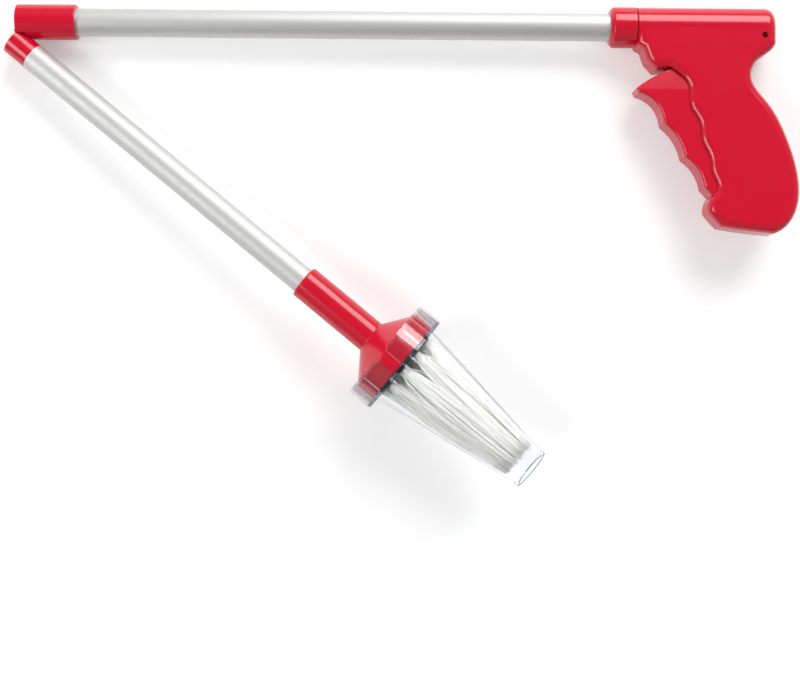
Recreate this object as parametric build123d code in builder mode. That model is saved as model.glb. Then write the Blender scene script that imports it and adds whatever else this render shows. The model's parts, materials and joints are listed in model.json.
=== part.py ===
from build123d import *
from math import asin, cos, degrees, radians, sin, sqrt, tan

# Folding spider catcher, in millimetres.
# X runs along the upper tube towards the grip, Y runs up the picture of the laid-down tool,
# and Z points away from the surface that the tool lies on.
# The origin is the centre of the hang hole through the top rear of the grip.

# Fits
gap = 0.3
running = 0.05
overrun = 2.0

# Tubes
tube_d = 12.7
tube_wall = 0.9

# Fold joint, measured from its pin
arm_angle = 39.4
pin_offset = 4.9
pin_r = 0.8
knuckle_r = 1.7
ear_in = 1.5
ear_mid = 2.7
ear_out = 3.8
end_face = 3.2
collar_face = 0.4
plug_length = 12.0
cord_way_r = 1.3

# Lower collar and the sleeve that locks the joint straight
collar_length = 11.5
sleeve_start = -0.9
sleeve_length = 27.3
sleeve_wall = 1.55
sleeve_clearance = 0.15

# Stations along the lower arm, measured from the pin
socket_start = 174.5
socket_d = 15.8
socket_lip = 1.4
tube_stop = 211.0
floor_thick = 1.4
flare_start = 215.0
flare_angle = 54.0
drum_r = 21.3
drum_wall = 1.2
flare_wall = 1.5
throat_r = 6.6
drum_end = 233.7

# Clear guard
skirt_start = 223.3
skirt_r = 25.5
skirt_wall = 1.4
skirt_corner = 3.0
notch_width = 5.6
notch_first = 99.4
notch_count = 3
snap_width = 1.5
snaps_each = 2
ring_start = 234.0
ring_thick = 1.4
cone_base_r = 20.4
cone_tip_r = 9.5
cone_wall = 1.2
guard_tip = 310.8
tip_lip = 1.9
tip_lip_step = 0.4

# Bristle head
finger_count = 10
finger_first = -7.0
pivot_s = 231.3
pivot_r = 8.0
wire_r = 0.5
wire_clearance = 0.2
finger_width = 3.0
finger_thick = 1.8
eye_r = 1.5
ferrule_r = 2.1
ferrule_seat = 1.68
ferrule_root = 15.5
ferrule_start = 233.4
ferrule_end = 235.8
toe_r = 17.2
toe_pin_r = 0.8
toe_play = 0.15
bristle_tip_r = 6.6
bristle_end = 302.5
strand_r = 0.2
strand_sides = 3
strand_pitch = 0.5
strand_rings = 3
strands_a_ring = 6
bundle_r = 1.75
root_thick = 1.0

# Finger hub and its legs
hub_r = 9.4
hub_start = 229.2
hub_end = 233.4
hub_dome = 1.2
leg_count = 3
leg_r = 1.1
leg_circle = 5.2

# Spreader, a dish pulled back along the arm
spreader_travel = 3.7
dish_r = 18.4
dish_wall = 1.3
dish_hub_wall = 2.1
dish_hub_r = 3.6
dish_hub_length = 3.6
lug_thick = 1.2
lug_inner = 14.2
lug_front = 232.5

# Pull line
rod_r = 1.0
rod_guide_r = 1.3
cord_r = 0.6
lower_rod_start = 30.0
upper_rod_start = 26.0
upper_rod_back = 14.0
washer_r = 4.2
washer_thick = 1.2
washer_at = 46.0
return_coil_r = 3.6
coil_wall = 1.4
overload_coil_r = 2.4

# Grip, measured from the nose's front end and from the barrel's axis.
# Its outline is in shares of its reach to the heel and of its drop to the butt.
grip_reach = 86.9
grip_drop = 96.8
back_shares = [(0.872, -0.102), (0.776, -0.174), (0.75, -0.243), (0.833, -0.367),
               (0.936, -0.536), (1.0, -0.754), (0.985, -0.888), (0.934, -0.963), (0.863, -1.0)]
bottom_shares = [(0.686, -0.983), (0.581, -0.967)]
front_shares = [(0.522, -0.909), (0.528, -0.832), (0.555, -0.78), (0.529, -0.718),
                (0.513, -0.635), (0.474, -0.558), (0.458, -0.465), (0.412, -0.393),
                (0.403, -0.294), (0.352, -0.237), (0.299, -0.207)]
lip_shares = [(0.243, -0.217), (0.194, -0.171), (0.174, -0.115)]
rear_top_share = 0.883
rear_foot_share = -0.083
nose_from_pin = 273.5
hang_from_pin = 344.5
hang_drop = 4.9
hang_r = 1.4
hang_boss_r = 3.2
hang_place = (hang_from_pin - nose_from_pin, -hang_drop)
nose_r = 9.4
nose_length = 12.0
nose_chamfer = 1.6
groove = 0.5
grip_half = 9.0
grip_round = 4.0
grip_wall = 2.2
grip_side_wall = 1.7
cavity_sides = 90
barrel_r = 9.2
rear_corner = 4.4
spigot_r = 8.0
spigot_length = 9.8
tube_seat = 30.0
saddle_thick = 2.4
saddle_places = (20.0, 27.0)

# Trigger, its outline from its foot in shares of the radius of its top
trigger_foot = (49.4, -76.0)
trigger_pivot = (54.0, -75.0)
trigger_travel = 8.0
trigger_arc_r = 59.7
trigger_end_r = 4.6
trigger_top_turn = 114.0
beak_shares = [(-0.63, 0.777), (-0.615, 0.742)]
ridge_shares = [(-0.42, 0.506), (-0.256, 0.241), (-0.106, 0.008)]
seat_shares = [(-0.466, 0.645), (-0.312, 0.389), (-0.159, 0.147)]
foot_shares = [(-0.069, -0.032), (-0.042, -0.065)]
rear_shares = [(-0.057, 0.603), (-0.152, 0.988)]
trigger_play = 0.4
crease_share = 0.768
crease_rise = 14.0
crease_cut = 1.5
trigger_wall = 2.0
trigger_edge = 1.5
ridge_round = 2.5
trigger_pin_r = 1.5
trigger_pin_seat = 1.1
hook_share = 0.94
hook_turn = 98.0
hook_r = 2.6
hook_half = 2.0
guide_r = 2.4
guide_at = (35.7, -3.3)
cord_bend = 3.2
cord_start = 12.0
cord_corner = 38.2

# Screws that close the grip
screw_places = [(28.0, -12.6), (56.0, -1.5), (74.0, -62.0), (66.0, -88.0)]
screw_r = 1.4
screw_head_r = 2.7
screw_head = 1.8
screw_sunk = 0.4
screw_boss_r = 3.2
screw_length = 13.0

# Return spring of the trigger
spring_r = 3.2
spring_wall = 1.0
spring_y = -38.0
spring_start = 46.4
spring_end = 66.0
spring_seat_r = 3.8

tube_r = tube_d / 2
cavity_half = grip_half - grip_side_wall
trigger_half = cavity_half - trigger_play
trigger_pin_half = cavity_half + trigger_pin_seat
bore_r = tube_r - tube_wall
pin_x = -hang_from_pin
barrel_y = hang_drop
pin_y = barrel_y - pin_offset
nose_x = pin_x + nose_from_pin

barrel = Plane(origin=(pin_x, barrel_y, 0), x_dir=(1, 0, 0), z_dir=(0, 0, 1))
barrel_axis = Axis((pin_x, barrel_y, 0), (1, 0, 0))
along = Vector(cos(radians(arm_angle)), -sin(radians(arm_angle)), 0)
across = Vector(sin(radians(arm_angle)), cos(radians(arm_angle)), 0)
arm_start = Vector(pin_x, pin_y, 0) - across * pin_offset
arm = Plane(origin=arm_start, x_dir=along, z_dir=(0, 0, 1))
arm_axis = Axis(arm_start, along)
pin_plane = Plane(origin=(pin_x, pin_y, 0), x_dir=(1, 0, 0), z_dir=(0, 0, 1))
pin_arm_plane = Plane(origin=(pin_x, pin_y, 0), x_dir=along, z_dir=(0, 0, 1))
grip_plane = Plane(origin=(nose_x, barrel_y, 0), x_dir=(1, 0, 0), z_dir=(0, 0, 1))


def spoke(angle):
    """Plane through the arm's axis: its x is the station along the arm, its y the radius."""
    out = across * cos(radians(angle)) + Vector(0, 0, 1) * sin(radians(angle))
    return Plane(origin=arm_start, x_dir=along, z_dir=along.cross(out))


def finger_spoke(number):
    """Spoke plane through the middle of a finger."""
    return spoke(finger_first + number * 360 / finger_count)


def station(distance):
    """Plane square to the arm at a distance from the pin, its x in the tubes' plane."""
    return Plane(origin=arm_start + along * distance, x_dir=across, z_dir=along)


def face(plane, *points):
    """Flat face with straight sides through points given in the plane."""
    with BuildSketch(plane) as sketch:
        with BuildLine():
            Polyline(*points, close=True)
        make_face()
    return sketch.sketch


def disc(plane, x, y, radius):
    """Flat round face centred at a point of the plane."""
    with BuildSketch(plane) as sketch:
        with Locations((x, y)):
            Circle(radius)
    return sketch.sketch


def oblong(plane, low, high):
    """Flat rectangle between two corners of the plane."""
    return face(plane, low, (high[0], low[1]), high, (low[0], high[1]))


def flare_s(radius, thick):
    """Station at which the flare's cone, or one inside it by a wall, reaches a radius."""
    slope = tan(radians(flare_angle))
    return flare_start + thick / sin(radians(flare_angle)) + (radius - socket_d / 2) / slope


def guard_r(distance):
    """Outer radius of the guard's cone at a station along the arm."""
    share = (distance - ring_start) / (guard_tip - ring_start)
    return cone_base_r + (cone_tip_r - cone_base_r) * share


def finish(name, piece):
    piece.part.label = name
    export_step(piece.part, f"parts/{name}.step")


# Upper tube
upper_tube_start = end_face + pin_offset / tan(radians(arm_angle / 2)) / 2
with BuildPart() as upper_tube:
    ring = [(upper_tube_start, bore_r), (nose_from_pin + tube_seat, bore_r),
            (nose_from_pin + tube_seat, tube_r), (upper_tube_start, tube_r)]
    revolve(face(barrel, *ring), axis=barrel_axis)
    arm_room = [(collar_face - overrun, 0), (end_face + sleeve_length, 0),
                (end_face + sleeve_length, tube_r + gap), (collar_face - overrun, tube_r + gap)]
    revolve(face(arm, *arm_room), axis=arm_axis, mode=Mode.SUBTRACT)
finish("upper_tube", upper_tube)

# Hinge plug in the upper tube, with the two inner ears of the fold joint
plug_r = bore_r - running
with BuildPart() as upper_hinge_plug:
    plug_line = [(end_face, 0), (upper_tube_start + plug_length, 0),
                 (upper_tube_start + plug_length, plug_r), (upper_tube_start, plug_r),
                 (upper_tube_start, tube_r), (end_face, tube_r)]
    revolve(face(barrel, *plug_line), axis=barrel_axis)
    revolve(face(arm, *arm_room), axis=arm_axis, mode=Mode.SUBTRACT)
    web_top = pin_offset
    with BuildSketch(pin_plane) as ear_side:
        Circle(knuckle_r)
        with BuildLine():
            Polyline((-knuckle_r, 0), (knuckle_r, 0), (end_face + gap, knuckle_r),
                     (end_face + gap, web_top + knuckle_r), (knuckle_r, web_top + knuckle_r),
                     close=True)
        make_face()
    extrude(ear_side.sketch, amount=ear_mid, both=True)
    extrude(oblong(pin_plane, (-overrun * 2, -overrun * 2), (end_face, web_top * 3)),
            amount=ear_in, both=True, mode=Mode.SUBTRACT)
    extrude(disc(pin_plane, 0, 0, pin_r + running), amount=ear_out * 2, both=True,
            mode=Mode.SUBTRACT)
    cord_way = [(0, 0), (upper_tube_start + plug_length + overrun, 0),
                (upper_tube_start + plug_length + overrun, cord_way_r), (0, cord_way_r)]
    revolve(face(barrel, *cord_way), axis=barrel_axis, mode=Mode.SUBTRACT)
    extrude(oblong(pin_plane, (0, 0), (end_face + overrun, pin_offset)),
            amount=cord_way_r, both=True, mode=Mode.SUBTRACT)
finish("upper_hinge_plug", upper_hinge_plug)

# Collar on the lower tube, with the two outer ears and a spigot inside the tube
with BuildPart() as lower_collar:
    collar_end = collar_face + collar_length
    collar_line = [(collar_face, 0), (collar_end + plug_length, 0), (collar_end + plug_length, plug_r),
                   (collar_end, plug_r), (collar_end, tube_r), (collar_face, tube_r)]
    revolve(face(arm, *collar_line), axis=arm_axis)
    extrude(disc(pin_arm_plane, 0, 0, knuckle_r), amount=ear_out, both=True)
    extrude(oblong(pin_arm_plane, (-overrun * 2, -pin_offset), (end_face, tube_d)),
            amount=ear_mid + running * 2, both=True, mode=Mode.SUBTRACT)
    extrude(disc(pin_arm_plane, 0, 0, knuckle_r + end_face - pin_r), amount=ear_mid + running * 2,
            both=True, mode=Mode.SUBTRACT)
    extrude(disc(pin_arm_plane, 0, 0, pin_r + running), amount=ear_out * 2, both=True,
            mode=Mode.SUBTRACT)
    cord_way = [(0, 0), (collar_end + plug_length + overrun, 0),
                (collar_end + plug_length + overrun, cord_way_r), (0, cord_way_r)]
    revolve(face(arm, *cord_way), axis=arm_axis, mode=Mode.SUBTRACT)
    extrude(oblong(pin_arm_plane, (0, -pin_offset), (end_face + overrun * 2, 0)),
            amount=cord_way_r, both=True, mode=Mode.SUBTRACT)
finish("lower_collar", lower_collar)

# Two short hinge pins, one in each pair of ears, which leave the middle free for the cord
with BuildPart() as hinge_pins:
    extrude(disc(pin_plane.offset(ear_in), 0, 0, pin_r), amount=ear_out - ear_in)
    extrude(disc(pin_plane.offset(-ear_in), 0, 0, pin_r), amount=ear_in - ear_out)
finish("hinge_pins", hinge_pins)

# Sleeve that slides over the joint to lock it
sleeve_in = tube_r + sleeve_clearance
sleeve_out = sleeve_in + sleeve_wall
with BuildPart() as lock_sleeve:
    sleeve_end = sleeve_start + sleeve_length
    wall = [(sleeve_start, sleeve_in), (sleeve_end, sleeve_in), (sleeve_end, sleeve_out),
            (sleeve_start, sleeve_out)]
    revolve(face(barrel, *wall), axis=barrel_axis)
    rims = lock_sleeve.edges().filter_by(GeomType.CIRCLE).group_by(SortBy.RADIUS)[-1]
    fillet(rims, radius=sleeve_wall / 3)
    arm_sweep = [(collar_face - gap, 0), (end_face + sleeve_length, 0),
                 (end_face + sleeve_length, tube_r + gap), (collar_face - gap, tube_r + gap)]
    revolve(face(arm, *arm_sweep), axis=arm_axis, mode=Mode.SUBTRACT)
    corner_r = sqrt(end_face ** 2 + (tube_r - pin_offset) ** 2)
    extrude(disc(pin_plane, 0, 0, corner_r + gap), amount=ear_out + gap * 4, both=True,
            mode=Mode.SUBTRACT)
finish("lock_sleeve", lock_sleeve)

# Lower tube
lower_tube_start = collar_face + collar_length
with BuildPart() as lower_tube:
    ring = [(lower_tube_start, bore_r), (tube_stop, bore_r), (tube_stop, tube_r),
            (lower_tube_start, tube_r)]
    revolve(face(arm, *ring), axis=arm_axis)
finish("lower_tube", lower_tube)

# Head socket: tube socket, flare and drum in one moulding, open at the front
socket_r = socket_d / 2
drum_bore = drum_r - drum_wall
floor_end = tube_stop + floor_thick
with BuildPart() as head_socket:
    outside = [(socket_start, tube_r + running), (socket_start, socket_r - socket_lip / 2),
               (socket_start + socket_lip / 2, socket_r), (flare_start, socket_r),
               (flare_s(drum_r, 0), drum_r), (drum_end, drum_r), (drum_end, drum_bore),
               (flare_s(drum_bore, flare_wall), drum_bore),
               (flare_s(throat_r, flare_wall), throat_r), (floor_end, throat_r),
               (floor_end, rod_guide_r), (tube_stop, rod_guide_r), (tube_stop, tube_r + running)]
    revolve(face(arm, *outside), axis=arm_axis)
finish("head_socket", head_socket)

# Clear guard: notched skirt, ring and cone in one moulding
ring_end = ring_start + ring_thick
with BuildPart() as clear_guard:
    tip_in = cone_tip_r - cone_wall
    shell = [(skirt_start, skirt_r - skirt_wall), (skirt_start, skirt_r), (ring_end, skirt_r),
             (ring_end, guard_r(ring_end)), (guard_tip - tip_lip, guard_r(guard_tip - tip_lip)),
             (guard_tip - tip_lip, guard_r(guard_tip - tip_lip) + tip_lip_step),
             (guard_tip, cone_tip_r + tip_lip_step), (guard_tip, tip_in),
             (ring_start, cone_base_r - cone_wall), (ring_start, skirt_r - skirt_wall)]
    revolve(face(arm, *shell), axis=arm_axis)
    for number in range(notch_count):
        turn = notch_first + number * 360 / notch_count
        notch = oblong(spoke(turn), (skirt_start - overrun, skirt_r - skirt_wall - overrun),
                       (ring_start, skirt_r + overrun))
        extrude(notch, amount=notch_width / 2, both=True, mode=Mode.SUBTRACT)
    corners = [edge for edge in clear_guard.edges().filter_by(GeomType.LINE)
               if abs((edge.center() - arm_start).dot(along) - skirt_start) < running
               and edge.length < skirt_wall * 2]
    fillet(corners, radius=skirt_corner)
    for number in range(notch_count * snaps_each):
        petal, place = divmod(number, snaps_each)
        turn = notch_first + (petal + (place + 1) / (snaps_each + 1)) * 360 / notch_count
        snap = oblong(spoke(turn), (skirt_start + skirt_wall, drum_r + gap),
                      (ring_start, skirt_r - skirt_wall / 2))
        extrude(snap, amount=snap_width / 2, both=True)
finish("clear_guard", clear_guard)

# Finger hub on three legs, with a ring wire on which the fingers turn
with BuildPart() as finger_hub:
    body = [(hub_start, 0), (hub_end + hub_dome, 0), (hub_end, pivot_r - eye_r - gap * 2),
            (hub_end, hub_r), (hub_start, hub_r)]
    revolve(face(arm, *body), axis=arm_axis)
    for number in range(finger_count):
        notch = oblong(finger_spoke(number),
                       (hub_start - overrun, pivot_r - eye_r - gap), (hub_end + overrun, hub_r * 2))
        extrude(notch, amount=finger_width / 2 + gap, both=True, mode=Mode.SUBTRACT)
    groove_half = wire_r + running
    wire_groove = oblong(arm, (pivot_s - groove_half, pivot_r - groove_half),
                         (pivot_s + groove_half, hub_r + overrun))
    revolve(wire_groove, axis=arm_axis, mode=Mode.SUBTRACT)
    for number in range(leg_count):
        turn = radians(number * 360 / leg_count)
        leg = disc(station(floor_end), leg_circle * cos(turn), leg_circle * sin(turn), leg_r)
        extrude(leg, amount=hub_start - floor_end)
finish("finger_hub", finger_hub)

with BuildPart() as ring_wire:
    revolve(disc(arm, pivot_s, pivot_r, wire_r), axis=arm_axis)
finish("ring_wire", ring_wire)

# Spreader: a dish with a pair of slotted lugs for each finger
dish_edge = flare_s(dish_r, flare_wall) + spreader_travel + gap * 2
slope = tan(radians(flare_angle))
dish_back = dish_edge - (dish_r - dish_hub_r) / slope
with BuildPart() as spreader:
    dish = [(dish_back, dish_hub_r), (dish_edge, dish_r), (dish_edge + dish_wall, dish_r),
            (dish_back + dish_hub_wall, dish_hub_r),
            (dish_back + dish_hub_wall, rod_r + running),
            (dish_back - dish_hub_length / 3, rod_r + running),
            (dish_back - dish_hub_length / 3, dish_hub_r)]
    revolve(face(arm, *dish), axis=arm_axis)
    for number in range(finger_count):
        way = finger_spoke(number)
        for side in (-1, 1):
            near = finger_width / 2 + gap
            plate = way.offset(side * near)
            lug = oblong(plate, (dish_edge + dish_wall / 2, lug_inner), (lug_front, dish_r))
            extrude(lug, amount=side * lug_thick)
    for number in range(finger_count):
        way = finger_spoke(number)
        slot_half = toe_pin_r + toe_play
        slot = oblong(way, (pivot_s - slot_half, lug_inner + lug_thick),
                      (pivot_s + slot_half, dish_r + overrun))
        extrude(slot, amount=finger_width, both=True, mode=Mode.SUBTRACT)
    for number in range(leg_count):
        turn = radians(number * 360 / leg_count)
        hole = disc(station(floor_end), leg_circle * cos(turn), leg_circle * sin(turn), leg_r + gap)
        extrude(hole, amount=hub_start - floor_end, mode=Mode.SUBTRACT)
finish("spreader", spreader)

# Ten fingers with their bristle bundles
lean = degrees(asin((ferrule_root - bristle_tip_r) / (bristle_end - ferrule_end)))
for number in range(finger_count):
    way = finger_spoke(number)
    bundle_way = Plane(origin=way.from_local_coords(Vector(ferrule_start, ferrule_root, 0)),
                       x_dir=way.z_dir,
                       z_dir=way.x_dir * cos(radians(lean)) - way.y_dir * sin(radians(lean)))
    with BuildPart() as finger:
        with BuildSketch(way) as side_view:
            with Locations((pivot_s, pivot_r)):
                Circle(eye_r)
            with Locations((pivot_s, toe_r)):
                Circle(toe_pin_r + finger_thick / 4)
            with BuildLine():
                Polyline((pivot_s - finger_thick / 2, pivot_r), (pivot_s + finger_thick / 2, pivot_r),
                         (pivot_s + finger_thick / 2, ferrule_root - ferrule_seat),
                         (ferrule_start, ferrule_root - ferrule_seat),
                         (ferrule_start, ferrule_root + ferrule_seat),
                         (pivot_s + finger_thick / 2, ferrule_root + ferrule_seat),
                         (pivot_s + finger_thick / 2, toe_r), (pivot_s - finger_thick / 2, toe_r),
                         close=True)
            make_face()
        extrude(side_view.sketch, amount=finger_width / 2, both=True)
        extrude(disc(way, pivot_s, toe_r, toe_pin_r), amount=finger_width / 2 + gap + lug_thick,
                both=True)
        extrude(disc(bundle_way, 0, 0, ferrule_r), amount=ferrule_end - ferrule_start)
        extrude(disc(way, pivot_s, pivot_r, wire_r + wire_clearance), amount=finger_width,
                both=True, mode=Mode.SUBTRACT)
        extrude(disc(bundle_way.offset(ferrule_end - ferrule_start - root_thick), 0, 0, bundle_r),
                amount=overrun, mode=Mode.SUBTRACT)
    finish(f"bristle_finger_{number + 1}", finger)

    root = bundle_way.offset(ferrule_end - ferrule_start - root_thick)
    with BuildPart() as bundle:
        extrude(disc(root, 0, 0, bundle_r), amount=root_thick)
        with BuildSketch(root.offset(root_thick / 2)) as strands:
            RegularPolygon(strand_r, strand_sides)
            for ring_number in range(1, strand_rings + 1):
                with PolarLocations(strand_pitch * ring_number, strands_a_ring * ring_number):
                    RegularPolygon(strand_r, strand_sides)
        extrude(strands.sketch, amount=(bristle_end - ferrule_end) / cos(radians(lean)))
    finish(f"bristle_bundle_{number + 1}", bundle)

# Rods inside the tubes and the cord between them, which bends beside the hinge pins
rod_end = nose_from_pin - upper_rod_back
with BuildPart() as upper_pull_rod:
    line = [(upper_rod_start, 0), (rod_end, 0), (rod_end, rod_r), (upper_rod_start, rod_r)]
    revolve(face(barrel, *line), axis=barrel_axis)
finish("upper_pull_rod", upper_pull_rod)

lower_rod_end = dish_back + dish_wall
with BuildPart() as lower_pull_rod:
    line = [(lower_rod_start, 0), (lower_rod_end, 0), (lower_rod_end, rod_r),
            (washer_at + washer_thick, rod_r), (washer_at + washer_thick, washer_r),
            (washer_at, washer_r), (washer_at, rod_r), (lower_rod_start, rod_r)]
    revolve(face(arm, *line), axis=arm_axis)
finish("lower_pull_rod", lower_pull_rod)

with BuildPart() as joint_cord:
    way_in = barrel.from_local_coords(Vector(upper_rod_start, 0, 0))
    way_on = barrel.from_local_coords(Vector(end_face + overrun, 0, 0))
    fold = Vector(pin_x, pin_y, 0)
    way_off = arm.from_local_coords(Vector(end_face + overrun, 0, 0))
    way_out = arm.from_local_coords(Vector(lower_rod_start, 0, 0))
    with BuildLine() as route:
        FilletPolyline(way_in, way_on, fold, way_off, way_out,
                       radius=[cord_r * 6, cord_r * 1.5, cord_r * 6])
    with BuildSketch(Plane(origin=route.line @ 0, z_dir=route.line % 0)):
        Circle(cord_r)
    sweep(path=route.line)
finish("joint_cord", joint_cord)

coil_start = collar_face + collar_length + plug_length + gap
with BuildPart() as return_spring:
    line = [(coil_start, return_coil_r - coil_wall), (washer_at - gap, return_coil_r - coil_wall),
            (washer_at - gap, return_coil_r), (coil_start, return_coil_r)]
    revolve(face(arm, *line), axis=arm_axis)
finish("return_spring", return_spring)

coil_in = overload_coil_r - coil_wall + gap
with BuildPart() as overload_spring:
    near, far = rod_end + gap, nose_from_pin + cord_start - gap
    line = [(near, coil_in), (far, coil_in), (far, overload_coil_r), (near, overload_coil_r)]
    revolve(face(barrel, *line), axis=barrel_axis)
finish("overload_spring", overload_spring)

# Grip, drawn whole about the plane of the tubes and then parted into its two shells


def in_grip(shares):
    return [(x * grip_reach, y * grip_drop) for x, y in shares]


def in_trigger(shares):
    foot_x, foot_y = trigger_foot
    return [(foot_x + x * trigger_arc_r, foot_y + y * trigger_arc_r) for x, y in shares]


rear_x = rear_top_share * grip_reach
rear_foot = (rear_x, rear_foot_share * grip_drop)
with BuildSketch(grip_plane) as grip_side:
    with BuildLine():
        Polyline((nose_length, grip_round), (rear_x - rear_corner, grip_round))
        RadiusArc((rear_x - rear_corner, grip_round), (rear_x, grip_round - rear_corner),
                  rear_corner)
        Polyline((rear_x, grip_round - rear_corner), rear_foot)
        Spline(rear_foot, *in_grip(back_shares))
        Polyline(in_grip(back_shares)[-1], *in_grip(bottom_shares), in_grip(front_shares)[0])
        Spline(*in_grip(front_shares))
        Polyline(in_grip(front_shares)[-1], *in_grip(lip_shares), (nose_length, -barrel_r),
                 (nose_length, grip_round))
    make_face()

# Barrel over the top of the grip, with the spigot that the nose ring sits on
spigot_start = nose_length - spigot_length
with BuildSketch(grip_plane) as barrel_side:
    with BuildLine():
        Polyline((rear_x, barrel_r - rear_corner), (rear_x, 0), (spigot_start, 0),
                 (spigot_start, spigot_r), (nose_length + groove, spigot_r),
                 (nose_length + groove, barrel_r), (rear_x - rear_corner, barrel_r))
        RadiusArc((rear_x - rear_corner, barrel_r), (rear_x, barrel_r - rear_corner), rear_corner)
    make_face()

with BuildSketch(grip_plane) as trigger_side:
    beak, ridges, seats = in_trigger(beak_shares), in_trigger(ridge_shares), in_trigger(seat_shares)
    foot, rear = in_trigger(foot_shares), in_trigger(rear_shares)
    pivot_x, pivot_y = trigger_pivot
    middle = radians(trigger_top_turn)
    top = in_trigger([(cos(middle), sin(middle))])[0]
    with BuildLine():
        ThreePointArc(rear[1], top, beak[0])
        Line(beak[0], beak[1])
        ThreePointArc(beak[1], seats[0], ridges[0])
        ThreePointArc(ridges[0], seats[1], ridges[1])
        ThreePointArc(ridges[1], seats[2], ridges[2])
        ThreePointArc(ridges[2], foot[0], foot[1])
        end = (pivot_x + trigger_end_r, pivot_y)
        ThreePointArc(foot[1], (pivot_x, pivot_y - trigger_end_r), end)
        Polyline(end, rear[0], rear[1])
    make_face()
trigger_axis = Axis(grip_plane.from_local_coords(Vector(*trigger_pivot, 0)), (0, 0, 1))

with BuildPart() as grip:
    extrude(grip_side.sketch, amount=grip_half, both=True)
    fillet(grip.faces().filter_by(Axis.Z).edges(), radius=grip_round)
    revolve(barrel_side.sketch, axis=barrel_axis)
    inner_line = offset(grip_side.sketch, amount=-grip_wall).face().outer_wire()
    inner_points = [grip_plane.to_local_coords(inner_line @ (number / cavity_sides))
                    for number in range(cavity_sides)]
    extrude(face(grip_plane, *inner_points), amount=cavity_half, both=True, mode=Mode.SUBTRACT)
    hollow = [(tube_seat, 0), (rear_x - grip_wall, 0), (rear_x - grip_wall, barrel_r - grip_wall),
              (tube_seat, barrel_r - grip_wall)]
    revolve(face(grip_plane, *hollow), axis=barrel_axis, mode=Mode.SUBTRACT)

    for place in saddle_places:
        saddle = oblong(grip_plane, (place, -barrel_r - grip_wall), (place + saddle_thick, 0))
        extrude(saddle, amount=cavity_half + groove, both=True)
    for place in screw_places:
        extrude(disc(grip_plane, *place, screw_boss_r), amount=cavity_half + groove, both=True)
    extrude(disc(grip_plane, *hang_place, hang_boss_r), amount=cavity_half + groove, both=True)
    extrude(disc(grip_plane, *guide_at, guide_r), amount=cavity_half + groove, both=True)
    seat_plane = Plane(origin=grip_plane.from_local_coords(Vector(spring_end, spring_y, 0)),
                       z_dir=(1, 0, 0))
    extrude(disc(seat_plane, 0, 0, spring_seat_r), until=Until.NEXT)

    trigger_room = offset(trigger_side.sketch, amount=gap)
    for share in (0, 1 / 2, 1):
        extrude(trigger_room.rotate(trigger_axis, -trigger_travel * share),
                amount=cavity_half + running, both=True, mode=Mode.SUBTRACT)

    bore = [(0, 0), (tube_seat + running, 0), (tube_seat + running, tube_r + running),
            (0, tube_r + running)]
    revolve(face(grip_plane, *bore), axis=barrel_axis, mode=Mode.SUBTRACT)
    extrude(disc(grip_plane, *trigger_pivot, trigger_pin_r + running), amount=trigger_pin_half,
            both=True, mode=Mode.SUBTRACT)
    extrude(disc(grip_plane, *hang_place, hang_r), amount=grip_half * 2, both=True,
            mode=Mode.SUBTRACT)
    for place in screw_places:
        head_floor = -grip_half + screw_sunk + screw_head
        extrude(disc(grip_plane.offset(-grip_half * 2), *place, screw_head_r + gap / 2),
                amount=grip_half * 2 + head_floor, mode=Mode.SUBTRACT)
        extrude(disc(grip_plane.offset(head_floor), *place, screw_r + running),
                amount=screw_length - screw_head, mode=Mode.SUBTRACT)

with BuildPart() as left_grip_shell:
    add(grip.part)
    split(bisect_by=Plane.XY, keep=Keep.TOP)
finish("left_grip_shell", left_grip_shell)

with BuildPart() as right_grip_shell:
    add(grip.part)
    split(bisect_by=Plane.XY, keep=Keep.BOTTOM)
finish("right_grip_shell", right_grip_shell)

with BuildPart() as grip_screws:
    for place in screw_places:
        head_floor = -grip_half + screw_sunk + screw_head
        extrude(disc(grip_plane.offset(-grip_half + screw_sunk), *place, screw_head_r),
                amount=screw_head)
        extrude(disc(grip_plane.offset(head_floor), *place, screw_r),
                amount=screw_length - screw_head - gap)
finish("grip_screws", grip_screws)

# Nose ring that holds the fronts of both shells
with BuildPart() as nose_ring:
    bore_out = tube_r + running
    line = [(0, bore_out), (spigot_start - running, bore_out),
            (spigot_start - running, spigot_r + running), (nose_length, spigot_r + running),
            (nose_length, nose_r), (nose_chamfer, nose_r), (0, nose_r - nose_chamfer)]
    revolve(face(grip_plane, *line), axis=barrel_axis)
finish("nose_ring", nose_ring)

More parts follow.
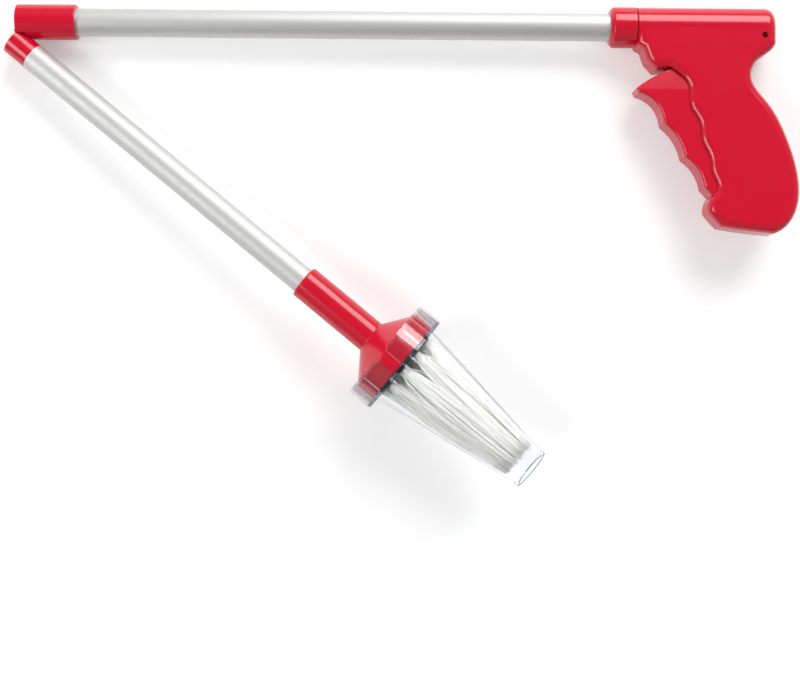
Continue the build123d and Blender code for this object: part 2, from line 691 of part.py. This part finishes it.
# Trigger: a lever with three finger seats, hollow at the back, with an eye and a cord hook
hook_place = in_trigger([(hook_share * cos(radians(hook_turn)),
                          hook_share * sin(radians(hook_turn)))])[0]
with BuildPart() as trigger:
    extrude(trigger_side.sketch, amount=trigger_half, both=True)
    ridge_edges = trigger.edges().filter_by(Axis.Z)
    sharp = [edge for edge in ridge_edges
             if min((grip_plane.to_local_coords(edge.center()) - Vector(*ridge)).length
                    for ridge in ridges) < ridge_round]
    fillet(sharp, radius=ridge_round)
    fillet(trigger.faces().filter_by(Axis.Z).edges(), radius=trigger_edge)
    with BuildSketch(grip_plane) as pocket:
        offset(trigger_side.sketch, amount=-trigger_wall)
        with Locations(trigger_pivot):
            Circle(trigger_end_r, mode=Mode.SUBTRACT)
    extrude(pocket.sketch, amount=trigger_half - trigger_wall, both=True, mode=Mode.SUBTRACT)
    extrude(disc(grip_plane, *hook_place, hook_r), amount=hook_half, both=True)
    crease_y = in_trigger([(0, crease_share)])[0][1]
    across_grip = Plane(origin=grip_plane.origin, x_dir=(0, 1, 0), z_dir=(1, 0, 0))
    for side in (-1, 1):
        slope = face(across_grip, (crease_y, side * trigger_half),
                     (crease_y + crease_rise, side * trigger_half),
                     (crease_y + crease_rise, side * (trigger_half - crease_cut)))
        extrude(slope, amount=grip_reach, mode=Mode.SUBTRACT)
    extrude(disc(grip_plane, *trigger_pivot, trigger_pin_r + running), amount=trigger_half * 2,
            both=True, mode=Mode.SUBTRACT)
finish("trigger", trigger)

with BuildPart() as trigger_pin:
    extrude(disc(grip_plane, *trigger_pivot, trigger_pin_r), amount=trigger_pin_half - running,
            both=True)
finish("trigger_pin", trigger_pin)

with BuildPart() as trigger_spring:
    spring_plane = Plane(origin=grip_plane.from_local_coords(Vector(spring_start, spring_y, 0)),
                         z_dir=(1, 0, 0))
    extrude(disc(spring_plane, 0, 0, spring_r), amount=spring_end - spring_start - gap)
    extrude(disc(spring_plane, 0, 0, spring_r - spring_wall), amount=spring_end - spring_start,
            mode=Mode.SUBTRACT)
finish("trigger_spring", trigger_spring)

# Cord from the spring in the tube, over its guide, down to the hook of the trigger
with BuildPart() as trigger_cord:
    hook_top = (hook_place[0], hook_place[1] + hook_r + gap)
    with BuildSketch(Plane(origin=grip_plane.from_local_coords(Vector(cord_start, 0, 0)),
                           z_dir=(1, 0, 0))):
        Circle(cord_r)
    with BuildLine(grip_plane) as pull_route:
        FilletPolyline((cord_start, 0), (cord_corner, 0), hook_top, radius=cord_bend)
    sweep(path=pull_route.line)
finish("trigger_cord", trigger_cord)
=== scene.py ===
import json
from math import cos, pi, radians, sin

import bmesh
import bpy
import numpy as np
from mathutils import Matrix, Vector


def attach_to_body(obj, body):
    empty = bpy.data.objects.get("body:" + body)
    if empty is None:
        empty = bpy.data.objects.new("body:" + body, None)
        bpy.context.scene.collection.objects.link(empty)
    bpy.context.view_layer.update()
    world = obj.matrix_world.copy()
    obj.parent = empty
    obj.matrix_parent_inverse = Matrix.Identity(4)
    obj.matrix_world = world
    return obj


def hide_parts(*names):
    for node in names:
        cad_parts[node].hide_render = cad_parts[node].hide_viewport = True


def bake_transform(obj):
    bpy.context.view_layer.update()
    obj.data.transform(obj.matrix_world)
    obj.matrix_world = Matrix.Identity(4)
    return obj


# Folding spider catcher, laid on its side on a white table and seen from above.
# The tool's own lengths are in millimetres up to the point where a mesh is made. The table, the lamps and
# the camera are in metres.

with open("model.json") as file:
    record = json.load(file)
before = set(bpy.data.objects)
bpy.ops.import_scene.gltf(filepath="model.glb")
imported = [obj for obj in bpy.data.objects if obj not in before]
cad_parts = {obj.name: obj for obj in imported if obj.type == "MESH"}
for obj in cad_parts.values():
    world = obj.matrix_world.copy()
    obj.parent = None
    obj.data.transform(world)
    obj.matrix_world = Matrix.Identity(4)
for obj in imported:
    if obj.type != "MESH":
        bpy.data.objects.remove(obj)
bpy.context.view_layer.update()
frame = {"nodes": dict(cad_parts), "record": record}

MM = 0.001
UP = np.array([0.0, 0.0, 1.0])
FORWARD = np.array([1.0, 0.0, 0.0])

# Places on the tool, as the solids have them. A station is a distance along the arm from the fold joint.
PIN = np.array([-344.5, 0.0, 0.0])
PIN_OFFSET = 4.9
ARM_TURN = radians(39.4)
ALONG = np.array([cos(ARM_TURN), -sin(ARM_TURN), 0.0])
ACROSS = np.array([sin(ARM_TURN), cos(ARM_TURN), 0.0])
ARM_START = PIN - ACROSS * PIN_OFFSET
BARREL_Y = 4.9
FINGERS = 10
FIRST_FINGER = radians(-7.0)
BODY_OF = {node: body for body, nodes in frame["record"]["behaviour"]["bodies"].items() for node in nodes}

# Clear guard: stations of its cone's start and tip, the cone's outer radii there and its wall, the station
# and half width of its ring, and the half width of the lip round its tip
GUARD_START, GUARD_TIP = 234.0, 310.8
GUARD_BASE_R, GUARD_TIP_R, GUARD_WALL = 20.4, 9.5, 1.2
RING_MIDDLE, RING_HALF = 234.7, 0.85
LIP_HALF = 0.5


def arm_point(station, radius=0.0, turn=0.0):
    """Point beside the arm: its distance along the arm, and a radius at an angle from the tubes' plane."""
    station, radius, turn = (np.asarray(value, float)[..., None] for value in (station, radius, turn))
    return ARM_START + ALONG * station + (ACROSS * np.cos(turn) + UP * np.sin(turn)) * radius


# Meshes

# Distance in metres at which corners count as one
MERGE_DISTANCE = 2e-6
# Turns of an edge: below the first its faces are joined, in a node that is rounded or creased, past the
# second it is a crease between wide faces, and past the third it is sharp between any two
FLAT_TURN, CREASE_TURN, SHARP_TURN = radians(0.3), radians(2.0), radians(40.0)
ROUNDING_STEPS = 2
# A coil's wire: its sides, its points in a turn, and the rise of a closed turn in radii of the wire
WIRE_SIDES = 6
STEPS_A_TURN = 20
CLOSED_RISE = 2.1


def quads(rows, columns, round_columns=False):
    """Faces of a grid of points, rows by columns, whose last column can join the first."""
    row = np.arange(rows - 1)[:, None]
    column = np.arange(columns if round_columns else columns - 1)[None, :]
    next_row, next_column = row + 1, (column + 1) % columns
    corners = [row * columns + column, row * columns + next_column,
               next_row * columns + next_column, next_row * columns + column]
    return np.stack(np.broadcast_arrays(*corners), -1).reshape(-1, 4)


def make_piece(name, points, faces, finish):
    """Smooth mesh object at the origin from points in millimetres."""
    mesh = bpy.data.meshes.new(name)
    mesh.from_pydata((np.asarray(points).reshape(-1, 3) * MM).tolist(), [], [list(face) for face in faces])
    mesh.validate()
    mesh.shade_smooth()
    piece = bpy.data.objects.new(name, mesh)
    bpy.context.collection.objects.link(piece)
    mesh.materials.append(finish)
    return piece


def node_points(node):
    """Corners of a CAD node, in metres."""
    points = np.empty(len(node.data.vertices) * 3, np.float32)
    node.data.vertices.foreach_get("co", points)
    return points.reshape(-1, 3)


def attach(piece, node, bend=None):
    """Put a piece in a CAD node's place, on its body, or, given a bend, baked into the scene where it lies.
    """
    if bend:
        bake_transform(piece)
    else:
        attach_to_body(piece, BODY_OF[node])
    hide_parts(node)


def finish_node(node, *finishes, rounded=None, crease_area=None, bend=None):
    """Copy of a CAD node with its corners merged, smooth over every edge that isn't sharp, and its sharp
    edges rounded, by a radius in millimetres. A slight edge stays a crease between two faces larger than
    crease_area square millimetres. The last finish is that of the rounded edges."""
    mesh = frame["nodes"][node].data.copy()
    bm = bmesh.new()
    bm.from_mesh(mesh)
    bmesh.ops.remove_doubles(bm, verts=bm.verts, dist=MERGE_DISTANCE)
    if rounded or crease_area:
        bmesh.ops.dissolve_limit(bm, angle_limit=FLAT_TURN, verts=bm.verts, edges=bm.edges)
    for face in bm.faces:
        face.smooth = True
    for edge in bm.edges:
        smallest = min((face.calc_area() for face in edge.link_faces), default=0)
        wide = crease_area and smallest > crease_area * MM * MM
        limit = CREASE_TURN if wide else SHARP_TURN
        edge.smooth = len(edge.link_faces) == 2 and edge.calc_face_angle(pi) < limit
    bm.to_mesh(mesh)
    bm.free()
    mesh.materials.clear()
    for material in finishes:
        mesh.materials.append(material)
    piece = bpy.data.objects.new("finished_" + node, mesh)
    bpy.context.collection.objects.link(piece)
    if rounded:
        corner = piece.modifiers.new("rounded", "BEVEL")
        corner.width = rounded * MM
        corner.segments = ROUNDING_STEPS
        corner.limit_method = "ANGLE"
        corner.angle_limit = SHARP_TURN
        corner.material = len(mesh.materials) - 1
    shading = piece.modifiers.new("shading", "WEIGHTED_NORMAL")
    shading.keep_sharp = True
    attach(piece, node, bend)


def coil(node, bodies, start, way, length, radius, wire, turns):
    """Round wire wound about a line: the point at an angle t is the start, plus the way times the rise at t,
    plus the radius times the cosine of t to the side and its sine upwards. The rise stays low over the first
    and the last turn, which are closed. The bodies are not used."""
    side = np.cross(UP, way)
    full = 2 * pi
    t = np.linspace(0, turns * full, turns * STEPS_A_TURN + 1)
    closed = wire * CLOSED_RISE / full
    open_length = length - wire * 2 - closed * full * 2
    rise = np.clip((t - full) / ((turns - 2) * full), 0, 1) * open_length
    rise = wire + rise + closed * (np.minimum(t, full) + np.maximum(t - (turns - 1) * full, 0))
    out = side * np.cos(t)[:, None] + UP * np.sin(t)[:, None]
    turn = np.arange(WIRE_SIDES) * full / WIRE_SIDES
    round_wire = out[:, None] * np.cos(turn)[:, None] + way * np.sin(turn)[:, None]
    line = start + way * rise[:, None] + out * (radius - wire)
    points = line[:, None] + round_wire * wire
    walls = quads(len(t), WIRE_SIDES, round_columns=True)[:, ::-1]
    last = len(t) * WIRE_SIDES - 1
    ends = [list(range(WIRE_SIDES)), list(range(last, last - WIRE_SIDES, -1))]
    piece = make_piece("wound_" + node, points, walls.tolist() + ends, SPRING)
    attach(piece, node, (*bodies, start * MM, (start + way * length) * MM))


# Materials

# A Mix node's sockets for two colours and for their mixture
MIX_A, MIX_B, MIXED = 6, 7, 2


def tone(text):
    """Linear colour of an sRGB hex value."""
    parts = [int(text[place:place + 2], 16) / 255 for place in (1, 3, 5)]
    return [part / 12.92 if part <= 0.04045 else ((part + 0.055) / 1.055) ** 2.4 for part in parts] + [1.0]


def add(tree, kind, settings=(), links=()):
    """New node in a tree, with its settings by name and its inputs linked by name."""
    node = tree.nodes.new(kind)
    for key, value in dict(settings).items():
        if isinstance(key, int) or key in node.inputs:
            node.inputs[key].default_value = value
        else:
            setattr(node, key, value)
    for key, socket in dict(links).items():
        tree.links.new(socket, node.inputs[key])
    return node


def new_material(name, **settings):
    """Material with one Principled shader, set by its own input names."""
    material = bpy.data.materials.new(name)
    material.use_nodes = True
    tree = material.node_tree
    shader = tree.nodes["Principled BSDF"]
    for key, value in settings.items():
        shader.inputs[key.replace("_", " ")].default_value = value
    return material, tree, shader


def grain(tree, shader, size_mm, depth_mm, strength, stretch=(1, 1, 1), turn=0.0):
    """Bump from a noise whose lumps are size_mm wide, stretched and turned on the object."""
    where = add(tree, "ShaderNodeTexCoord")
    place = add(tree, "ShaderNodeMapping", {"Rotation": (0, 0, turn), "Scale": stretch},
                {"Vector": where.outputs["Object"]})
    noise = add(tree, "ShaderNodeTexNoise", {"Scale": 1 / (size_mm * MM), "Detail": 2.0},
                {"Vector": place.outputs["Vector"]})
    bump = add(tree, "ShaderNodeBump", {"Strength": strength, "Distance": depth_mm * MM},
               {"Height": noise.outputs["Fac"]})
    tree.links.new(bump.outputs["Normal"], shader.inputs["Normal"])
    return noise


def seen_rays(tree, *kinds):
    """1 for the camera's rays, and for rays of the kinds given that have met nothing matt on their way, whose
    Diffuse Depth is 0."""
    rays = add(tree, "ShaderNodeLightPath")
    clean = add(tree, "ShaderNodeMath", {"operation": "LESS_THAN", 1: 0.5},
                {0: rays.outputs["Diffuse Depth"]})
    found = rays.outputs["Is Camera Ray"]
    for kind in kinds:
        either = add(tree, "ShaderNodeMath", {"operation": "MAXIMUM"}, {0: found, 1: rays.outputs[kind]})
        found = either.outputs["Value"]
    seen = add(tree, "ShaderNodeMath", {"operation": "MULTIPLY"}, {0: found, 1: clean.outputs["Value"]})
    return seen.outputs["Value"]


def pass_light(tree, shader, colour):
    """Let the lamps' light through, in the colour given, where a surface would only cast a shadow."""
    rays = add(tree, "ShaderNodeLightPath")
    clear = add(tree, "ShaderNodeBsdfTransparent", {"Color": tone(colour)})
    mix = add(tree, "ShaderNodeMixShader", (),
              {0: rays.outputs["Is Shadow Ray"], 1: shader.outputs["BSDF"], 2: clear.outputs["BSDF"]})
    tree.links.new(mix.outputs["Shader"], tree.nodes["Material Output"].inputs["Surface"])


def red_abs():
    """Injection-moulded ABS from a polished tool: deep red with a wet gloss, barely rippled where it cooled,
    and a touch duller in patches some 14 mm wide."""
    material, tree, shader = new_material("moulded_abs_red", Base_Color=tone("#CE0B2C"), Roughness=0.15,
                                          IOR=1.5)
    grain(tree, shader, size_mm=9.0, depth_mm=0.05, strength=0.35)
    where = add(tree, "ShaderNodeTexCoord")
    worn = add(tree, "ShaderNodeTexNoise", {"Scale": 1 / (14 * MM), "Detail": 4.0},
               {"Vector": where.outputs["Object"]})
    gloss = add(tree, "ShaderNodeMapRange", {"To Min": 0.12, "To Max": 0.2}, {"Value": worn.outputs["Fac"]})
    tree.links.new(gloss.outputs["Result"], shader.inputs["Roughness"])
    return material


def drawn_aluminium(name, turn):
    """Drawn and clear-anodised aluminium tube: a soft grey metal with fine lines along its length."""
    material, tree, shader = new_material(name, Base_Color=tone("#D1D1D0"), Metallic=1.0, Roughness=0.62)
    lines = grain(tree, shader, size_mm=0.9, depth_mm=0.02, strength=0.25, stretch=(0.015, 1, 1), turn=turn)
    gloss = add(tree, "ShaderNodeMapRange", {"To Min": 0.54, "To Max": 0.7}, {"Value": lines.outputs["Fac"]})
    tree.links.new(gloss.outputs["Result"], shader.inputs["Roughness"])
    return material


def clear_styrene():
    """Clear moulded polystyrene: glassy walls, a little smoky in the skirt's thick petals, with a painted
    blue-grey shade in the ring and in the lip of the tip, for the dark edge that the walls show where the
    light runs far inside them. Its station is the distance from the arm's start, measured along the arm."""
    material, tree, shader = new_material("clear_polystyrene", Roughness=0.02, IOR=1.58,
                                          Transmission_Weight=1.0)
    where = add(tree, "ShaderNodeTexCoord")
    centred = add(tree, "ShaderNodeVectorMath", {"operation": "SUBTRACT", 1: tuple(ARM_START * MM)},
                  {0: where.outputs["Object"]})
    station = add(tree, "ShaderNodeVectorMath", {"operation": "DOT_PRODUCT", 1: tuple(ALONG)},
                  {0: centred.outputs["Vector"]})
    ring = add(tree, "ShaderNodeMath", {"operation": "COMPARE", 1: RING_MIDDLE * MM, 2: RING_HALF * MM},
               {0: station.outputs["Value"]})
    lip = add(tree, "ShaderNodeMath", {"operation": "COMPARE", 1: GUARD_TIP * MM, 2: LIP_HALF * MM},
              {0: station.outputs["Value"]})
    # Band of the painted shade: the ring and the lip of the tip
    edge_shade_band = add(tree, "ShaderNodeMath", {"operation": "MAXIMUM"},
               {0: ring.outputs["Value"], 1: lip.outputs["Value"]})
    petals = add(tree, "ShaderNodeMath", {"operation": "LESS_THAN", 1: GUARD_START * MM},
                 {0: station.outputs["Value"]})
    wall = add(tree, "ShaderNodeMix", {"data_type": "RGBA", MIX_A: tone("#FDFEFF"), MIX_B: tone("#DBD3D6")},
               {0: petals.outputs["Value"]})
    # Painted shade: blue-grey laid over the ring and the lip, for their dark edges
    painted_edge_shade = add(tree, "ShaderNodeMix", {"data_type": "RGBA", MIX_B: tone("#878E9E")},
               {0: edge_shade_band.outputs["Value"], MIX_A: wall.outputs[MIXED]})
    tree.links.new(painted_edge_shade.outputs[MIXED], shader.inputs["Base Color"])
    pass_light(tree, shader, "#F4F5F6")
    return material


def painted_corner_highlight():
    """Rounded corner of the clear moulding, painted a part opaque white, as a painted highlight for the
    white line of light that such a corner gathers.
    """
    material, tree, shader = new_material("clear_polystyrene_painted_highlight", Base_Color=tone("#FFFFFF"),
                                          Roughness=0.3, IOR=1.58, Transmission_Weight=0.35)
    grain(tree, shader, size_mm=1.5, depth_mm=0.01, strength=0.2)
    return material


def nylon_bristle():
    """Extruded nylon monofilament: milky white and waxy, and so thin that most of the light passes on."""
    material, tree, shader = new_material("nylon_bristle", Base_Color=tone("#F8F7F3"), Roughness=0.4,
                                          IOR=1.53)
    pass_light(tree, shader, "#F7F7F5")
    return material


def black_acetal():
    """Moulded acetal: black, smooth and slightly waxy."""
    material, tree, shader = new_material("black_acetal", Base_Color=tone("#1B1C1E"), Roughness=0.42,
                                          IOR=1.48)
    grain(tree, shader, size_mm=2.0, depth_mm=0.02, strength=0.3)
    return material


def bright_steel(name, roughness):
    """Plated steel wire and pins: a bright metal with light scratches."""
    material, tree, shader = new_material(name, Base_Color=tone("#B9BABC"), Metallic=1.0, Roughness=roughness)
    grain(tree, shader, size_mm=0.8, depth_mm=0.01, strength=0.3)
    return material


def braided_cord():
    """Braided polyester cord: matt, dark and ribbed by its strands, drawn as coarse as shows."""
    material, tree, shader = new_material("braided_cord", Base_Color=tone("#2B2B2D"), Roughness=0.8)
    grain(tree, shader, size_mm=0.6, depth_mm=0.05, strength=0.8)
    return material


RED = red_abs()
UPPER_ALUMINIUM = drawn_aluminium("drawn_aluminium_upper", 0.0)
LOWER_ALUMINIUM = drawn_aluminium("drawn_aluminium_lower", ARM_TURN)
CLEAR = clear_styrene()
# Painted highlight for the clear guard's rounded corners
CLEAR_CORNER_HIGHLIGHT = painted_corner_highlight()
BRISTLE = nylon_bristle()
BLACK = black_acetal()
STEEL = bright_steel("bright_steel", 0.25)
SPRING = bright_steel("spring_steel", 0.35)
CORD = braided_cord()

# Finish of each rigid node
EDGE_R = 0.3
TRIGGER_CREASE_AREA = 20.0
FINGER_LEVERS = [f"bristle_finger_{number + 1}" for number in range(FINGERS)]
for node in ("left_grip_shell", "right_grip_shell", "lock_sleeve"):
    finish_node(node, RED)
finish_node("trigger", RED, crease_area=TRIGGER_CREASE_AREA)
for node in ("nose_ring", "lower_collar", "head_socket"):
    finish_node(node, RED, rounded=EDGE_R)
finish_node("upper_tube", UPPER_ALUMINIUM)
finish_node("lower_tube", LOWER_ALUMINIUM)
# The guard's rounded corners take the painted white highlight
finish_node("clear_guard", CLEAR, CLEAR_CORNER_HIGHLIGHT, rounded=EDGE_R)
for node in ("finger_hub", "spreader", "upper_hinge_plug", *FINGER_LEVERS):
    finish_node(node, BLACK)
for node in ("grip_screws", "trigger_pin", "hinge_pins", "ring_wire", "upper_pull_rod", "lower_pull_rod"):
    finish_node(node, STEEL)

# Springs: where each starts, and the bodies listed for its two ends
RETURN_START = ARM_START + ALONG * 24.4
OVERLOAD_START = np.array([-84.5, BARREL_Y, 0.0])
TRIGGER_START = np.array([-24.5, BARREL_Y - 38.0, 0.0])
coil("return_spring", ("arm", "spreader"), RETURN_START, ALONG,
     length=21.0, radius=3.55, wire=0.35, turns=12)
coil("overload_spring", ("pull_rod", "grip"), OVERLOAD_START, FORWARD,
     length=24.6, radius=2.35, wire=0.3, turns=16)
coil("trigger_spring", ("trigger", "grip"), TRIGGER_START, FORWARD,
     length=19.1, radius=3.15, wire=0.35, turns=9)

# Cords, each finished where it lies: one runs round the fold joint, from the upper tube's axis to the
# arm's, and one between its guide in the grip and its hook on the trigger, over the last HOOK_LENGTH of it
HOOK_LENGTH = 0.5
fold_start = PIN + np.array([0.0, PIN_OFFSET, 0.0])
finish_node("joint_cord", CORD, bend=("grip", "arm", fold_start * MM, ARM_START * MM))
cord = node_points(frame["nodes"]["trigger_cord"])
hook = cord[cord[:, 1].argmin()]
guide_end = (hook[0], BARREL_Y * MM, 0)
hook_end = (hook[0], hook[1] + HOOK_LENGTH * MM, 0)
finish_node("trigger_cord", CORD, bend=("grip", "trigger", guide_end, hook_end))

# Bristles

STRANDS = 90
STRAND_R, STRAND_SIDES, STRAND_STEPS = 0.17, 3, 9
# Share of its radius that a strand loses by its tip
STRAND_TAPER = 0.35
FIRST_SEED = 40
# Stations of the roots and of the tips, and how unevenly the tips end
ROOT_S, TIP_S, TIP_VARIES = 235.0, 302.0, 0.9
# Distance from the arm's axis to the middle of each bundle's round root, and that root's radius
ROOT_R, ROOT_SPREAD = 15.5, 1.6
# How deep in the cone the tips lie at most, as a share of its radius
TIP_DEPTH = 0.55
# How much wider the fan's angle is at the tips than at the roots, and how far each tip strays, in radians
TIP_WIDENS, TIP_FAN = 2, 0.32
BOW, BOW_VARIES = 0.8, 0.4
# Room that lets a finger turn: its least radius, how far past the root that is, and its slope from there
TURNING_R, TURNING_S, TURNING_SLOPE = 16.1, 7.0, 0.15


def inside_guard(station):
    """Inner radius of the clear cone at a station along the arm, less the room that a strand takes."""
    share = (station - GUARD_START) / (GUARD_TIP - GUARD_START)
    return GUARD_BASE_R + (GUARD_TIP_R - GUARD_BASE_R) * share - GUARD_WALL - STRAND_R * 2


def bristle_bundle(number):
    """Fan of strands: each runs from its place in the round root to its place in the cone. Its radius slides
    evenly from one to the other, plus a bow that goes as the sine of its share of the way to the power 1.5,
    and its angle slides as the square root of that share, so that the fan opens early. It stays inside the
    cone and the room that its finger needs to turn, and thins as the cube of the share."""
    rng = np.random.default_rng(FIRST_SEED + number)
    middle = FIRST_FINGER + number * 2 * pi / FINGERS
    radius_in_root = ROOT_SPREAD * np.sqrt(rng.random(STRANDS))
    angle_in_root = rng.random(STRANDS) * 2 * pi
    root_r = ROOT_R + radius_in_root * np.cos(angle_in_root)
    root_turn = middle + radius_in_root * np.sin(angle_in_root) / ROOT_R
    end = TIP_S + rng.normal(0, TIP_VARIES, STRANDS)
    tip_r = inside_guard(end) * (1 - TIP_DEPTH * rng.random(STRANDS) ** 2)
    tip_turn = middle + (root_turn - middle) * TIP_WIDENS + rng.normal(0, TIP_FAN, STRANDS)
    share = np.linspace(0, 1, STRAND_STEPS + 1)[None, :]
    station = ROOT_S + (end[:, None] - ROOT_S) * share
    bow = rng.normal(BOW, BOW_VARIES, STRANDS)[:, None] * np.sin(share * pi) ** 1.5
    radius = root_r[:, None] + (tip_r - root_r)[:, None] * share + bow
    radius = np.minimum(radius, inside_guard(station))
    radius = np.minimum(radius, TURNING_R + TURNING_SLOPE * abs(station - ROOT_S - TURNING_S))
    turn = root_turn[:, None] + (tip_turn - root_turn)[:, None] * share ** 0.5
    line = arm_point(station, radius, turn)
    corner = np.arange(STRAND_SIDES)
    side = corner * 2 * pi / STRAND_SIDES
    ring = ACROSS * np.cos(side)[:, None] + UP * np.sin(side)[:, None]
    thin = STRAND_R * (1 - STRAND_TAPER * share[0] ** 3)
    points = line[:, :, None, :] + ring * thin[None, :, None, None]
    strand_size = (STRAND_STEPS + 1) * STRAND_SIDES
    first = np.arange(STRANDS)[:, None, None] * strand_size
    walls = first + quads(STRAND_STEPS + 1, STRAND_SIDES, round_columns=True)
    caps = first + np.array([corner[::-1], corner + strand_size - STRAND_SIDES])
    faces = list(walls.reshape(-1, 4)) + list(caps.reshape(-1, STRAND_SIDES))
    piece = make_piece(f"bristles_{number + 1}", points, faces, BRISTLE)
    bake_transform(piece)
    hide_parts(f"bristle_bundle_{number + 1}")


for number in range(FINGERS):
    bristle_bundle(number)

# Table, under the three points that the tool rests on: its middle, its normal and half its width. Its paper
# falls away to the left of the fold joint, from EDGE beside the middle, by DROP over EDGE_WIDTH, so that the
# unfolded arm's head has room beside it.
TABLE_CENTRE = np.array([-0.17, -0.14, 0.0])
TABLE_NORMAL = np.array([0.0092, -0.1036, 1.0])
TABLE_NORMAL /= np.linalg.norm(TABLE_NORMAL)
TABLE_HALF = 2.0
EDGE, EDGE_WIDTH, DROP = -0.23, 0.16, 0.03
EDGE_ROWS = 21
# The paper's own glow beside the tool and far from it, and the distances between which it changes
NEAR_GLOW, FAR_GLOW = 0.28, 1.0
NEAR, FAR = 0.5, 1.4


def table_height():
    """Lowest point of the tool, measured square to the table."""
    return min((node_points(node) @ TABLE_NORMAL).min() for node in frame["nodes"].values())


def white_paper():
    """Matt wove paper: white to the eye, with the tool's soft shadow on it. Its own glow is faint beside the
    tool, so that the shadow stays, and full far from it."""
    material, tree, shader = new_material("white_paper", Base_Color=tone("#F2F2F2"), Roughness=0.9,
                                          Specular_IOR_Level=0.1, Emission_Color=tone("#FFFFFF"))
    seen = seen_rays(tree, "Is Transmission Ray", "Is Glossy Ray")
    where = add(tree, "ShaderNodeTexCoord")
    away = add(tree, "ShaderNodeVectorMath", {"operation": "DISTANCE", 1: tuple(TABLE_CENTRE)},
               {0: where.outputs["Object"]})
    fade = add(tree, "ShaderNodeMapRange",
               {"From Min": NEAR, "From Max": FAR, "To Min": NEAR_GLOW, "To Max": FAR_GLOW},
               {"Value": away.outputs["Value"]})
    glow = add(tree, "ShaderNodeMath", {"operation": "MULTIPLY"}, {0: seen, 1: fade.outputs["Result"]})
    tree.links.new(glow.outputs["Value"], shader.inputs["Emission Strength"])
    return material


def lay_table():
    """Paper sweep: a plane square to TABLE_NORMAL, which drops past its edge by a smooth step, three times
    the square less twice the cube of its share of the way."""
    side = np.cross([0, 1, 0], TABLE_NORMAL)
    side /= np.linalg.norm(side)
    front = np.cross(TABLE_NORMAL, side)
    centre = TABLE_CENTRE + TABLE_NORMAL * (table_height() - TABLE_CENTRE @ TABLE_NORMAL)
    edge = np.linspace(EDGE, EDGE - EDGE_WIDTH, EDGE_ROWS)
    x = np.concatenate([[TABLE_HALF], edge, [-TABLE_HALF]])[:, None, None]
    y = np.array([-TABLE_HALF, TABLE_HALF])[None, :, None]
    share = np.clip((EDGE - x) / EDGE_WIDTH, 0, 1)
    points = centre + side * x + front * y - UP * DROP * share ** 2 * (3 - 2 * share)
    table = make_piece("table", points / MM, quads(len(x), 2), white_paper())


lay_table()

# Lamps: two soft boxes, both turned to the middle of the tool
MIDDLE = Vector((-0.17, -0.12, 0.0))


def lamp(name, place, width, height, power):
    """Soft box at a place in metres, turned to the middle of the tool."""
    light = bpy.data.lights.new(name, "AREA")
    light.shape = "RECTANGLE"
    light.size = width
    light.size_y = height
    light.energy = power
    box = bpy.data.objects.new(name, light)
    bpy.context.collection.objects.link(box)
    box.location = place
    box.rotation_euler = (MIDDLE - Vector(place)).to_track_quat("-Z", "Y").to_euler()


lamp("key_box", (0.33, 0.95, 0.92), width=1.0, height=0.9, power=18.5)
lamp("left_box", (-1.25, -0.41, 1.0), width=0.9, height=0.6, power=10)

# Room with pale walls and a darker ceiling over the camera. Its light changes from the one to the other
# between two heights of a ray's direction, and the camera's own rays find all of it white.
WALL_LIGHT, CEILING_LIGHT = 0.4, 0.2
WALL_TOP, CEILING_START = 0.75, 0.93
world = bpy.data.worlds.new("studio")
bpy.context.scene.world = world
world.use_nodes = True
room = world.node_tree
sky = room.nodes["Background"]
sky.inputs["Color"].default_value = tone("#FFFFFF")
direction = add(room, "ShaderNodeTexCoord")
height = add(room, "ShaderNodeSeparateXYZ", (), {"Vector": direction.outputs["Generated"]})
walls = add(room, "ShaderNodeMapRange",
            {"From Min": WALL_TOP, "From Max": CEILING_START, "To Min": WALL_LIGHT, "To Max": CEILING_LIGHT},
            {"Value": height.outputs["Z"]})
strength = add(room, "ShaderNodeMath", {"operation": "MAXIMUM"},
               {0: walls.outputs["Result"], 1: seen_rays(room)})
room.links.new(strength.outputs["Value"], sky.inputs["Strength"])

# Camera above the table, its place and turn fitted to points of the tool in the photograph, whose width and
# focal length are in pixels
PICTURE_WIDTH, FOCAL_LENGTH = 800, 1345.1
camera = bpy.data.cameras.new("camera")
camera.sensor_width = 36.0
camera.lens = FOCAL_LENGTH / PICTURE_WIDTH * camera.sensor_width
seat = bpy.data.objects.new("camera", camera)
bpy.context.collection.objects.link(seat)
seat.location = (-0.18145, -0.16546, 0.62)
seat.rotation_euler = (0.0395, -0.0218, 0.0040)
bpy.context.scene.camera = seat
bpy.context.scene.view_settings.view_transform = "Standard"
